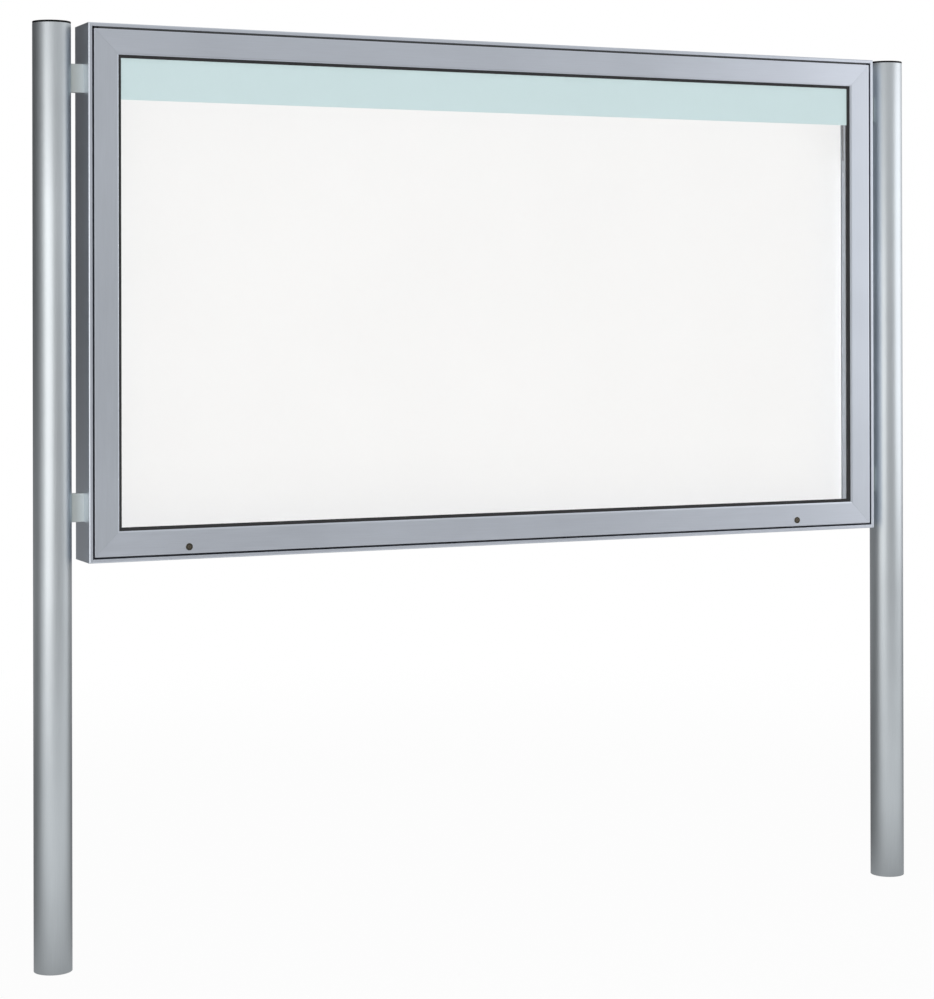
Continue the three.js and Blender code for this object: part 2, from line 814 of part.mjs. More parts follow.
// A foot on the back of the stile and an ear beside the rod's eye.
function doorStayBracket(sign) {
  const earIn = stayX + stay.eyeWidth / 2 + stayBracket.gap;
  const earOut = earIn + stayBracket.thick;
  const footBack = doorBackY + stayBracket.thick;
  const z = around(doorPivot.z, stayBracket.ear / 2);
  const foot = block(outwards(sign, earIn, earIn + stayBracket.footWidth), [doorBackY, footBack], z);
  const ear = block(outwards(sign, earIn, earOut), [doorBackY, doorPivot.y + stayBracket.ear / 2], z);
  const bossSpan = outwards(sign, earOut - fit.clearance, earOut + stayBracket.boss);
  const boss = roundBar('x', stay.pinDiameter, bossSpan, [0, doorPivot.y, doorPivot.z], stay.sides);
  return join(foot, ear, boss);
}

for (const [end, sign] of Object.entries(ends)) {
  place(`stay_tube_${end}`, hanging(stayTube(), sign), finish.darkSteel);
  place(`stay_rod_${end}`, hanging(stayRod(), sign), finish.steel);
  place(`stay_bracket_case_${end}`, caseStayBracket(sign), finish.steel);
  place(`stay_bracket_door_${end}`, doorStayBracket(sign), finish.steel);
}

export default part;
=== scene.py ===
"""Looks for a lockable notice board: an aluminium showcase with a top-hung glazed door between two posts.

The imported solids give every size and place. Each sub-assembly is a class that rounds the edges of its solids
or models finer pieces that stand for them, and gives each piece its finish.
"""

import json
import logging
import math
from collections.abc import Callable
from dataclasses import dataclass
from enum import Enum

import bmesh
import bpy
from mathutils import Matrix, Vector

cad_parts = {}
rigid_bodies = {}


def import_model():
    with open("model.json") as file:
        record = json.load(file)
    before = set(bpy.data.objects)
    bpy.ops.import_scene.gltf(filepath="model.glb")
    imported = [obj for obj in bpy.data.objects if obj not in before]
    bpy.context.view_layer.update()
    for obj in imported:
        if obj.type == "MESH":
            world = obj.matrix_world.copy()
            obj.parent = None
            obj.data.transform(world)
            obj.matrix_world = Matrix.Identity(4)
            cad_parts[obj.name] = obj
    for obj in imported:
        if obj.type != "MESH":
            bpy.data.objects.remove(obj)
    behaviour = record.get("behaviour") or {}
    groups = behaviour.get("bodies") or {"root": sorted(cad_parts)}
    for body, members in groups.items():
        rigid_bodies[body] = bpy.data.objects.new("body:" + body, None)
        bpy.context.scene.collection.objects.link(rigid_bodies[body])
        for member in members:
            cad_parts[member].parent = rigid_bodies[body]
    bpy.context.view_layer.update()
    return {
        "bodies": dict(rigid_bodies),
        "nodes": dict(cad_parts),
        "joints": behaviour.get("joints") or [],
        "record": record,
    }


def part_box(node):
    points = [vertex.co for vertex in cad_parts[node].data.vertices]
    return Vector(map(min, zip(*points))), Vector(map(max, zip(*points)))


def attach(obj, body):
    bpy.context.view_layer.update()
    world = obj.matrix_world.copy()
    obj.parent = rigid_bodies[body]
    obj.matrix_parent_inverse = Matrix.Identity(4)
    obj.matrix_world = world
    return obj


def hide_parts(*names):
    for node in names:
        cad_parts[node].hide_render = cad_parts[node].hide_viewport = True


LOG = logging.getLogger("notice_board")

Pair = tuple[float, float]
Point = tuple[float, float, float]
Colour = tuple[float, float, float]
Box = tuple[Vector, Vector]
Profile = list[Pair]
Socket = bpy.types.NodeSocket
Value = Socket | float | tuple[float, ...]
Piece = bpy.types.Object
Finish = bpy.types.Material

ENDS = ("left", "right")
CORNERS = ("lower_left", "lower_right", "upper_left", "upper_right")
OUTWARDS = {"top": (0, 0, 1), "bottom": (0, 0, -1), "left": (-1, 0, 0), "right": (1, 0, 0)}
EVEN = (1.0, 1.0, 1.0)
WHITE = (1.0, 1.0, 1.0, 1.0)
NOISE_RANGE = (0.3, 0.7)
SAME_PLACE = 1.0e-4
MERGED = 1.0e-6
SPUN_MERGED = 2.0e-6
FLAT_ANGLE = math.radians(0.5)
EDGE_ANGLE = 35.0
SMOOTH_ANGLE = math.radians(50.0)
TURNED_SMOOTH_ANGLE = math.radians(32.0)
ALONG_RUN = 0.999
MOST_WEIGHT = 100


class Along(Enum):
    """The way that a piece was drawn, rolled or brushed, as a stretch of its grain."""

    X = (0.02, 1.0, 1.0)
    Z = (1.0, 1.0, 0.02)
    NONE = EVEN


class Axis(Enum):
    """An axis that a bar runs along or a turned piece is spun about."""

    X = (1.0, 0.0, 0.0)
    Y = (0.0, 1.0, 0.0)
    Z = (0.0, 0.0, 1.0)


class Tree:
    """A node tree, with what materials and the surroundings both need of it."""

    def __init__(self, tree: bpy.types.NodeTree) -> None:
        """Clears the tree.

        Args:
            tree: The node tree.
        """
        self.tree = tree
        self.tree.nodes.clear()

    def feed(self, target: Socket, value: Value) -> None:
        """Links or sets an input.

        Args:
            target: The input.
            value: A socket, or the number, colour or vector that it is set to.
        """
        if isinstance(value, Socket):
            self.tree.links.new(value, target)
        else:
            target.default_value = value

    def node(self, kind: str, *first: Value, inputs: dict[str, Value] | None = None,
             **settings: object) -> bpy.types.Node:
        """Adds a node.

        Args:
            kind: The node's type name.
            first: Its first inputs, in order.
            inputs: More inputs, by name.
            settings: Attributes to set on it.

        Returns:
            The new node.
        """
        made = self.tree.nodes.new(kind)
        for key, value in settings.items():
            setattr(made, key, value)
        for target, value in zip(made.inputs, first):
            self.feed(target, value)
        for name, value in (inputs or {}).items():
            self.feed(made.inputs[name], value)
        return made

    def math(self, operation: str, *values: Value) -> Socket:
        """One sum of values."""
        return self.node("ShaderNodeMath", *values, operation=operation).outputs["Value"]

    def mix(self, factor: Value, low: Value, high: Value) -> Socket:
        """A level between two, by a factor."""
        inputs = {"Factor": factor, "A": low, "B": high}
        return self.node("ShaderNodeMix", inputs=inputs, data_type="FLOAT").outputs["Result"]

    def span(self, value: Value, source: Pair, result: Pair, step: str = "LINEAR") -> Socket:
        """A level that goes from one to another while a value crosses a range."""
        made = self.node("ShaderNodeMapRange", value, *source, *result, interpolation_type=step)
        return made.outputs["Result"]

    def curve(self, value: Socket, points: tuple[Pair, ...]) -> Socket:
        """A level that follows a smooth line through points.

        Args:
            value: What it follows.
            points: Pairs of value and level, in order.

        Returns:
            The level.
        """
        first, last = points[0][0], points[-1][0]
        made = self.node("ShaderNodeFloatCurve")
        line = made.mapping.curves[0]
        shares = [((place - first) / (last - first), level) for place, level in points]
        line.points[0].location, line.points[1].location = shares[0], shares[-1]
        for share in shares[1:-1]:
            line.points.new(*share)
        made.mapping.update()
        self.feed(made.inputs["Value"], self.span(value, (first, last), (0.0, 1.0)))
        return made.outputs["Value"]

    def ray(self, *kinds: str) -> Socket:
        """1 for a ray of one kind or of either of two, and 0 for the others.

        Args:
            kinds: The kinds, such as Camera.

        Returns:
            The level.
        """
        path = self.node("ShaderNodeLightPath")
        asked = [path.outputs[f"Is {kind} Ray"] for kind in kinds]
        return self.math("MAXIMUM", *asked) if len(asked) > 1 else asked[0]


class NodeBench(Tree):
    """A material's node tree, with a short method for each kind of node that the finishes use."""

    def __init__(self, name: str) -> None:
        """Makes an empty material with an output.

        Args:
            name: The material's name.
        """
        self.material = bpy.data.materials.new(name)
        self.material.use_nodes = True
        super().__init__(self.material.node_tree)
        self.output = self.node("ShaderNodeOutputMaterial")

    def show(self, shader: Socket) -> None:
        """Puts a shader on the surface."""
        self.feed(self.output.inputs["Surface"], shader)

    def place(self, stretch: Point = EVEN) -> Socket:
        """Object coordinates, drawn out along the grain by a factor on each axis."""
        coordinates = self.node("ShaderNodeTexCoord").outputs["Object"]
        return self.node("ShaderNodeMapping", coordinates, inputs={"Scale": stretch}).outputs["Vector"]

    def noise(self, scale: float, detail: float = 2.0, stretch: Point = EVEN) -> Socket:
        """Noise over the piece.

        Args:
            scale: Features per metre.
            detail: Octaves.
            stretch: How far the features are drawn out on each axis.

        Returns:
            The level, from 0 to 1.
        """
        inputs = {"Scale": scale, "Detail": detail}
        return self.node("ShaderNodeTexNoise", self.place(stretch), inputs=inputs).outputs["Fac"]

    def spread(self, noise: Socket, low: float, high: float) -> Socket:
        """The middle of a noise's range, spread between two levels."""
        return self.span(noise, NOISE_RANGE, (low, high))

    def tint(self, noise: Socket, dark: Colour, light: Colour) -> Socket:
        """A colour between two, by a noise.

        Args:
            noise: Where between them.
            dark: The colour of its dark patches.
            light: The colour of its light patches.

        Returns:
            The colour.
        """
        ramp = self.node("ShaderNodeValToRGB", noise)
        for stop, position, colour in zip(ramp.color_ramp.elements, NOISE_RANGE, (dark, light)):
            stop.position, stop.color = position, (*colour, 1.0)
        return ramp.outputs["Color"]

    def darken(self, factor: Value, colour: Socket, by: Value) -> Socket:
        """A colour multiplied by another, as far as a factor says."""
        inputs = {"Factor": factor, "A": colour, "B": by}
        made = self.node("ShaderNodeMix", inputs=inputs, data_type="RGBA", blend_type="MULTIPLY")
        return made.outputs["Result"]

    def bump(self, height: Socket, distance: float, strength: float = 1.0) -> Socket:
        """A bumped normal.

        Args:
            height: The height, from 0 to 1.
            distance: The real height that it stands for, in metres.
            strength: How much of it shows.

        Returns:
            The normal.
        """
        inputs = {"Strength": strength, "Distance": distance, "Height": height}
        return self.node("ShaderNodeBump", inputs=inputs).outputs["Normal"]

    def within(self, low: Vector, high: Vector) -> Socket:
        """Whether a place lies inside a box.

        Args:
            low: The box's lowest corner.
            high: Its highest corner.

        Returns:
            The level, 1 inside and 0 outside.
        """
        axes = self.node("ShaderNodeSeparateXYZ", self.place()).outputs
        centre, half = (low + high) / 2, (high - low) / 2
        near_x, near_y, near_z = (self.math("COMPARE", *each) for each in zip(axes, centre, half))
        return self.math("MULTIPLY", self.math("MULTIPLY", near_x, near_y), near_z)

    def blend(self, factor: Socket, first: Socket, second: Socket) -> None:
        """Puts a mix of two shaders on the surface."""
        self.show(self.node("ShaderNodeMixShader", factor, first, second).outputs["Shader"])

    def sheer(self, shader: Socket) -> None:
        """Lets the light that falls on diffuse surfaces through a shader, and shows it to every other ray."""
        clear = self.node("ShaderNodeBsdfTransparent").outputs["BSDF"]
        self.blend(self.ray("Shadow", "Diffuse"), shader, clear)

    def principled(self, **values: Value) -> Socket:
        """A Principled shader on the surface, with its uniform values set on its own sockets.

        Args:
            values: Its inputs, by their names with underscores.

        Returns:
            The shader.
        """
        inputs = {key.replace("_", " "): value for key, value in values.items()}
        shader = self.node("ShaderNodeBsdfPrincipled", inputs=inputs).outputs["BSDF"]
        self.show(shader)
        return shader


def shade(colour: Colour, factor: float) -> Colour:
    """A colour made darker or lighter by a factor."""
    return (colour[0] * factor, colour[1] * factor, colour[2] * factor)


@dataclass(frozen=True)
class DrawnMetal:
    """Drawn, rolled or brushed metal: fine lines along the grain over a soft drift of tone.

    Where it is given a space, its faces inside that space are painted darker than those outside: painted shade
    in the gaps and recesses inside the case.
    """

    name: str
    colour: Colour
    roughness: float
    along: Along
    line_scale: float = 900.0
    line_height: float = 2.0e-6
    line_detail: float = 4.0
    cloud_scale: float = 5.0
    drift: float = 0.04
    play: float = 0.03
    painted_shade_space: Box | None = None
    painted_shade_tone: float = 0.6

    def make(self) -> Finish:
        """Builds the material.

        Returns:
            The material.
        """
        bench = NodeBench(f"{self.name}_{self.along.name.lower()}")
        lines = bench.noise(self.line_scale, self.line_detail, self.along.value)
        dark, light = shade(self.colour, 1.0 - self.drift), shade(self.colour, 1.0 + self.drift / 2)
        grey = bench.tint(lines, shade(EVEN, 1.0 - self.drift), EVEN)
        tone = bench.darken(1.0, bench.tint(bench.noise(self.cloud_scale), dark, light), grey)
        # Faces inside the case are painted darker: painted shade in its gaps and recesses.
        if self.painted_shade_space:
            inside = bench.within(*self.painted_shade_space)
            tone = bench.darken(inside, tone, (*shade(EVEN, self.painted_shade_tone), 1.0))
        bench.principled(
            Metallic=1.0, Base_Color=tone, Normal=bench.bump(lines, self.line_height),
            Roughness=bench.spread(lines, self.roughness - self.play, self.roughness + self.play),
        )
        return bench.material


@dataclass(frozen=True)
class Coating:
    """Paint, enamel or film: an even colour with a faint drift and the soft skin of its coat."""

    name: str
    colour: Colour
    roughness: float
    drift: float = 0.015
    play: float = 0.02
    cloud_scale: float = 3.0
    skin_scale: float = 260.0
    skin_height: float = 4.0e-6
    coat: float = 0.0
    coat_roughness: float = 0.08
    shine: float = 0.5
    translucent: bool = False

    def make(self) -> Finish:
        """Builds the material.

        Returns:
            The material.
        """
        bench = NodeBench(self.name)
        cloud = bench.noise(self.cloud_scale)
        shader = bench.principled(
            Coat_Weight=self.coat, Coat_Roughness=self.coat_roughness, Specular_IOR_Level=self.shine,
            Base_Color=bench.tint(cloud, shade(self.colour, 1.0 - self.drift), self.colour),
            Roughness=bench.spread(cloud, self.roughness - self.play, self.roughness + self.play),
            Normal=bench.bump(bench.noise(self.skin_scale), self.skin_height),
        )
        if self.translucent:
            bench.sheer(shader)
        return bench.material


@dataclass(frozen=True)
class Moulded:
    """Black rubber or plastic: a matt moulded skin with dust in its low spots."""

    name: str
    colour: Colour
    roughness: float
    play: float = 0.06
    pore_scale: float = 1400.0
    pore_height: float = 1.5e-5
    pore_strength: float = 0.5
    dust_scale: float = 18.0
    dust: float = 1.5
    detail: float = 3.0
    shine: float = 0.5

    def make(self) -> Finish:
        """Builds the material.

        Returns:
            The material.
        """
        bench = NodeBench(self.name)
        pores = bench.noise(self.pore_scale, self.detail)
        dusty = bench.noise(self.dust_scale, self.detail)
        bench.principled(
            Specular_IOR_Level=self.shine,
            Base_Color=bench.tint(dusty, self.colour, shade(self.colour, self.dust)),
            Roughness=bench.spread(pores, self.roughness - self.play, self.roughness + self.play),
            Normal=bench.bump(pores, self.pore_height, self.pore_strength),
        )
        return bench.material


@dataclass(frozen=True)
class ClearGlass:
    """Clear toughened glass with the faintest haze in places, which lets lamp light through to the panel."""

    name: str = "clear_glass"
    colour: Colour = (0.985, 0.99, 0.985)
    haze: float = 0.02
    haze_scale: float = 11.0
    index: float = 1.5

    def make(self) -> Finish:
        """Builds the material.

        Returns:
            The material.
        """
        bench = NodeBench(self.name)
        haze = bench.spread(bench.noise(self.haze_scale), 0.0, self.haze)
        bench.sheer(bench.principled(
            Base_Color=(*self.colour, 1.0), Roughness=haze, IOR=self.index, Transmission_Weight=1.0,
        ))
        return bench.material


class Finishes:
    """Every finish of the board, each made once."""

    # Margins of the space inside the case whose profile faces are painted darker as painted shade.
    PAINTED_SHADE_INSET = 0.0325
    PAINTED_SHADE_DEPTH = 0.0135
    PAINTED_SHADE_PAST_BACK = 0.0095

    def __init__(self) -> None:
        """Makes the materials."""
        # The rails are a lighter tone than the stiles of the same profile: a painted highlight for how the
        # bars that lie across catch more light.
        rail, stile, painted_shade_box = (0.725, 0.775, 0.86), (0.69, 0.74, 0.815), self.painted_shade_space()
        self.profile_x = DrawnMetal("anodised_profile", rail, 0.42, Along.X, painted_shade_space=painted_shade_box).make()
        self.profile_z = DrawnMetal("anodised_profile", stile, 0.42, Along.Z, painted_shade_space=painted_shade_box).make()
        self.tube = DrawnMetal("anodised_tube", (0.68, 0.73, 0.765), 0.41, Along.Z, drift=0.05).make()
        self.spacer = DrawnMetal("spacer_alloy", (0.69, 0.745, 0.735), 0.42, Along.Z).make()
        self.sheet = DrawnMetal("back_sheet", (0.64, 0.67, 0.69), 0.38, Along.X, 500.0).make()
        self.steel = DrawnMetal("stainless_steel", (0.56, 0.57, 0.58), 0.26, Along.NONE, 1600.0).make()
        self.rod = DrawnMetal("bright_rod", (0.72, 0.73, 0.74), 0.12, Along.NONE, 1600.0, 5.0e-7).make()
        self.brass = DrawnMetal("lock_brass", (0.20, 0.175, 0.14), 0.32, Along.NONE, 1800.0).make()
        self.bronzed = DrawnMetal("bronzed_steel", (0.12, 0.112, 0.088), 0.26, Along.NONE, 1800.0).make()
        self.enamel = Coating("white_enamel", (0.93, 0.92, 0.915), 0.45, shine=0.12).make()
        self.film = Coating(
            "header_film", (0.585, 0.72, 0.735), 0.25, skin_height=1.0e-6, translucent=True).make()
        self.dark = Coating(
            "dark_steel", (0.03, 0.031, 0.034), 0.34, drift=0.1, skin_scale=900.0, coat=0.3).make()
        self.rubber = Moulded("black_rubber", (0.012, 0.012, 0.013), 0.62).make()
        self.plastic = Moulded("black_plastic", (0.004, 0.004, 0.0044), 0.6, shine=0.18).make()
        self.glass = ClearGlass().make()

    def painted_shade_space(self) -> Box:
        """The space inside the display case, from behind the door's face to past the back, whose profile faces
        are painted darker as painted shade.

        Returns:
            Its lowest and highest corner.
        """
        left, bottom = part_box("case_left")[0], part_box("case_bottom")[0]
        right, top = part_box("case_right")[1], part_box("case_top")[1]
        low = (left.x + self.PAINTED_SHADE_INSET, left.y + self.PAINTED_SHADE_DEPTH, bottom.z + self.PAINTED_SHADE_INSET)
        high = (right.x - self.PAINTED_SHADE_INSET, right.y + self.PAINTED_SHADE_PAST_BACK, top.z - self.PAINTED_SHADE_INSET)
        return Vector(low), Vector(high)


class Bench:
    """The work that every sub-assembly shares: copying a solid, rounding it, turning a piece, dressing it."""

    def __init__(self, frame: dict) -> None:
        """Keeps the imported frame.
        """
        self.frame = frame
        self.slots = {part["node"]: part["material_slot"] for part in frame["record"]["subparts"]}
        bodies = frame["record"]["behaviour"]["bodies"]
        self.bodies = {node: body for body, nodes in bodies.items() for node in nodes}

    def only(self, *pieces: Piece) -> None:
        """Selects some pieces and nothing else, the first of them active."""
        bpy.ops.object.select_all(action="DESELECT")
        for piece in pieces:
            piece.select_set(True)
        bpy.context.view_layer.objects.active = pieces[0]

    def edit(self, piece: Piece) -> None:
        """Opens one piece in edit mode, all of it selected."""
        self.only(piece)
        bpy.ops.object.mode_set(mode="EDIT")
        bpy.ops.mesh.select_all(action="SELECT")

    def done(self) -> None:
        """Goes back to object mode."""
        bpy.ops.object.mode_set(mode="OBJECT")

    def settle(self, piece: Piece) -> None:
        """Puts a piece's place, turn and scale into its mesh."""
        self.only(piece)
        bpy.ops.object.transform_apply(location=True, rotation=True, scale=True)

    def apply(self, piece: Piece) -> None:
        """Applies all of a piece's modifiers."""
        self.only(piece)
        for modifier in list(piece.modifiers):
            bpy.ops.object.modifier_apply(modifier=modifier.name)

    def joined(self, *pieces: Piece) -> Piece:
        """Joins pieces into the first one."""
        self.only(*pieces)
        bpy.ops.object.join()
        return pieces[0]

    def duplicate(self, node: str) -> Piece:
        """A copy of a solid with its loose triangles merged into whole faces.

        Args:
            node: The solid to copy.

        Returns:
            The copy.
        """
        piece = bpy.data.objects.new(f"{node}_piece", self.frame["nodes"][node].data.copy())
        bpy.context.scene.collection.objects.link(piece)
        self.edit(piece)
        bpy.ops.mesh.remove_doubles(threshold=MERGED)
        bpy.ops.mesh.customdata_custom_splitnormals_clear()
        bpy.ops.mesh.dissolve_limited(angle_limit=FLAT_ANGLE)
        self.done()
        return piece

    def soften(self, piece: Piece, radius: float, segments: int = 2, angle: float = EDGE_ANGLE,
               limit: str = "ANGLE") -> None:
        """Rounds a piece's sharp edges and keeps its flat faces flat.

        Args:
            piece: The piece.
            radius: The width of the rounding.
            segments: Its steps.
            angle: The least angle that counts as an edge, in degrees.
            limit: ANGLE for every edge that sharp, or WEIGHT for the edges by their own weight.
        """
        bevel = piece.modifiers.new("edges", "BEVEL")
        bevel.width = radius
        bevel.segments = segments
        bevel.limit_method = limit
        bevel.angle_limit = math.radians(angle)
        bevel.use_clamp_overlap = True
        self.apply(piece)
        bpy.ops.object.shade_smooth_by_angle(angle=SMOOTH_ANGLE)
        weighted = piece.modifiers.new("normals", "WEIGHTED_NORMAL")
        weighted.keep_sharp = True
        weighted.weight = MOST_WEIGHT
        self.apply(piece)

    def paint(self, node: str, finish: Finish) -> None:
        """Keeps a solid as it is and gives it its finish."""
        solid = self.frame["nodes"][node]
        solid.data.materials.clear()
        solid.data.materials.append(finish)
        LOG.info("%s keeps its solid", node)

    def fit_on(self, piece: Piece, finish: Finish, body: str, slot: str) -> None:
        """Gives a piece its finish and its body.

        Args:
            piece: The piece.
            finish: Its material.
            body: The body that carries it.
            slot: The record's material slot. It is not used.
        """
        piece.data.materials.clear()
        piece.data.materials.append(finish)
        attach(piece, body)
        LOG.info("%s rides on %s: %d faces", piece.name, body, len(piece.data.polygons))

    def dress(self, piece: Piece, finish: Finish, node: str) -> None:
        """Gives a piece its finish and lets it stand for its solid, on that solid's body."""
        self.fit_on(piece, finish, self.bodies[node], self.slots[node])
        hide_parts(node)

    def rounded(self, node: str, finish: Finish, radius: float, segments: int = 2,
                angle: float = EDGE_ANGLE) -> None:
        """Makes a rounded copy of a solid, in its place and finish.

        Args:
            node: The solid.
            finish: The material.
            radius: The width of the rounding.
            segments: Its steps.
            angle: The least angle that counts as an edge, in degrees.
        """
        piece = self.duplicate(node)
        self.soften(piece, radius, segments, angle)
        self.dress(piece, finish, node)

    def bar(self, node: str, finish: Finish, run: Axis, radius: float, rim: float = 0.0,
            on_rim: Callable[[Vector], bool] = lambda place: False,
            moved: Callable[[Vector], Vector] = lambda place: place) -> None:
        """Makes a copy of a mitred bar, rounded along its run alone, so that its sawn ends still close.

        Args:
            node: The bar.
            finish: The material.
            run: The axis that it runs along.
            radius: The width of the rounding.
            rim: The width of the rounding on its rim.
            on_rim: Whether a corner lies on its rim.
            moved: Where a corner goes before the rounding.
        """
        piece = self.duplicate(node)
        widest = max(radius, rim)
        self.edit(piece)
        shape = bmesh.from_edit_mesh(piece.data)
        weight = shape.edges.layers.float.new("bevel_weight_edge")
        for edge in shape.edges:
            start, end = (corner.co for corner in edge.verts)
            along = abs((end - start).normalized().dot(Vector(run.value))) > ALONG_RUN
            if along and edge.calc_face_angle(0.0) > math.radians(EDGE_ANGLE):
                edge[weight] = (rim if on_rim(start) and on_rim(end) else radius) / widest
        for corner in shape.verts:
            corner.co = moved(corner.co.copy())
        bmesh.update_edit_mesh(piece.data)
        self.done()
        self.soften(piece, widest, 3, limit="WEIGHT")
        self.dress(piece, finish, node)

    def turned(self, name: str, profile: Profile, centre: Point, axis: Axis, steps: int) -> Piece:
        """A piece turned about an axis from a closed profile.

        Args:
            name: The piece's name.
            profile: Radius and place along the axis of each corner, in metres.
            centre: The point that the profile's places are counted from.
            axis: The axis.
            steps: Steps round the turn.

        Returns:
            The piece.
        """
        bpy.ops.object.select_all(action="DESELECT")
        bpy.ops.mesh.primitive_circle_add(vertices=len(profile), radius=1.0, location=(0, 0, 0))
        piece = bpy.context.active_object
        piece.name = name
        direction = Vector(axis.value)
        outwards = Vector((0, 0, 1)) if axis is Axis.X else Vector((1, 0, 0))
        self.edit(piece)
        shape = bmesh.from_edit_mesh(piece.data)
        for vertex, (radius, along) in zip(shape.verts, profile):
            vertex.co = Vector(centre) + outwards * radius + direction * along
        bmesh.update_edit_mesh(piece.data)
        bpy.ops.mesh.spin(steps=steps, angle=math.tau, center=centre, axis=axis.value)
        bpy.ops.mesh.select_all(action="SELECT")
        bpy.ops.mesh.remove_doubles(threshold=SPUN_MERGED)
        bpy.ops.mesh.normals_make_consistent(inside=False)
        self.done()
        self.only(piece)
        bpy.ops.object.shade_smooth_by_angle(angle=TURNED_SMOOTH_ANGLE)
        return piece


def arc(centre: Pair, radius: float, start: float, end: float, steps: int) -> Profile:
    """Points of a round stretch of a profile.

    Args:
        centre: Radius and place along the axis of the arc's centre.
        radius: The arc's radius.
        start: Where it starts, in degrees from outwards towards along.
        end: Where it ends.
        steps: Its steps.

    Returns:
        The points, both ends included.
    """
    angles = [math.radians(start + (end - start) * step / steps) for step in range(steps + 1)]
    return [(centre[0] + radius * math.cos(a), centre[1] + radius * math.sin(a)) for a in angles]


def hung(profile: Profile) -> Profile:
    """A profile whose places are counted downwards instead of upwards."""
    return [(radius, -along) for radius, along in profile]


def middle(node: str) -> Vector:
    """The middle of a solid's box."""
    low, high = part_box(node)
    return (low + high) / 2


@dataclass
class Assembly:
    """What every sub-assembly works with."""

    bench: Bench
    finishes: Finishes


@dataclass
class Posts(Assembly):
    """The two round posts, each with a moulded cap pressed into its top."""

    wall: float = 0.003
    rim: float = 0.0005
    lip: float = 0.0004
    crown: float = 0.0001
    crown_shares: tuple[float, ...] = (0.8, 0.6, 0.4, 0.2, 0.0)
    skirt_gap: float = 0.0003
    skirt_wall: float = 0.0025
    skirt_lead: float = 0.001
    flange_edge: float = 0.0003
    steps: int = 96

    def turned_on(self, node: str, name: str, profile: Profile) -> Piece:
        """Turns a profile on the axis of an upright solid, counted from its lowest point."""
        centre, low = middle(node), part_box(node)[0]
        return self.bench.turned(name, profile, (centre.x, centre.y, low.z), Axis.Z, self.steps)

    def tube(self, end: str) -> Piece:
        """Turns one post, open at both ends.

        Args:
            end: left or right.

        Returns:
            The post.
        """
        low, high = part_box(f"post_{end}")
        outer, top, edge = (high.x - low.x) / 2, high.z - low.z, self.rim
        inner = outer - self.wall
        profile = [(inner, edge), (inner + edge, 0.0)]
        profile += arc((outer - edge, edge), edge, -90, 0, 3)
        profile += arc((outer - edge, top - edge), edge, 0, 90, 3)
        profile += [(inner + edge, top), (inner, top - edge)]
        return self.turned_on(f"post_{end}", f"post_tube_{end}", profile)

    def cap(self, end: str) -> Piece:
        """Turns one cap: a round-edged, faintly crowned flange over a skirt.

        Args:
            end: left or right.

        Returns:
            The cap.
        """
        low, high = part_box(f"post_cap_{end}")
        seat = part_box(f"post_{end}")[1].z - low.z
        outer, top, lip = (high.x - low.x) / 2, high.z - low.z, self.lip
        skirt, lead = outer - self.wall - self.skirt_gap, self.skirt_lead
        inner = skirt - self.skirt_wall
        profile = [(0.0, seat), (inner, seat), (inner, 0.0), (skirt - lead, 0.0), (skirt, lead)]
        profile += [(skirt, seat), (outer - self.flange_edge, seat)]
        profile += arc((outer - lip, top - self.crown - lip), lip, 0, 75, 5)
        profile += [(outer * share, top - self.crown * share * share) for share in self.crown_shares]
        return self.turned_on(f"post_cap_{end}", f"cap_{end}", profile)

    def build(self) -> None:
        """Makes both posts and both caps."""
        for end in ENDS:
            self.bench.dress(self.tube(end), self.finishes.tube, f"post_{end}")
            self.bench.dress(self.cap(end), self.finishes.plastic, f"post_cap_{end}")


@dataclass
class Fixings(Assembly):
    """The spacers between posts and case, each with its bolt."""

    edge: float = 0.0007

    def build(self) -> None:
        """Rounds the spacers and gives the bolts their finish."""
        for corner in CORNERS:
            self.bench.rounded(f"spacer_{corner}", self.finishes.spacer, self.edge, 3)
            self.bench.paint(f"spacer_bolt_{corner}", self.finishes.steel)


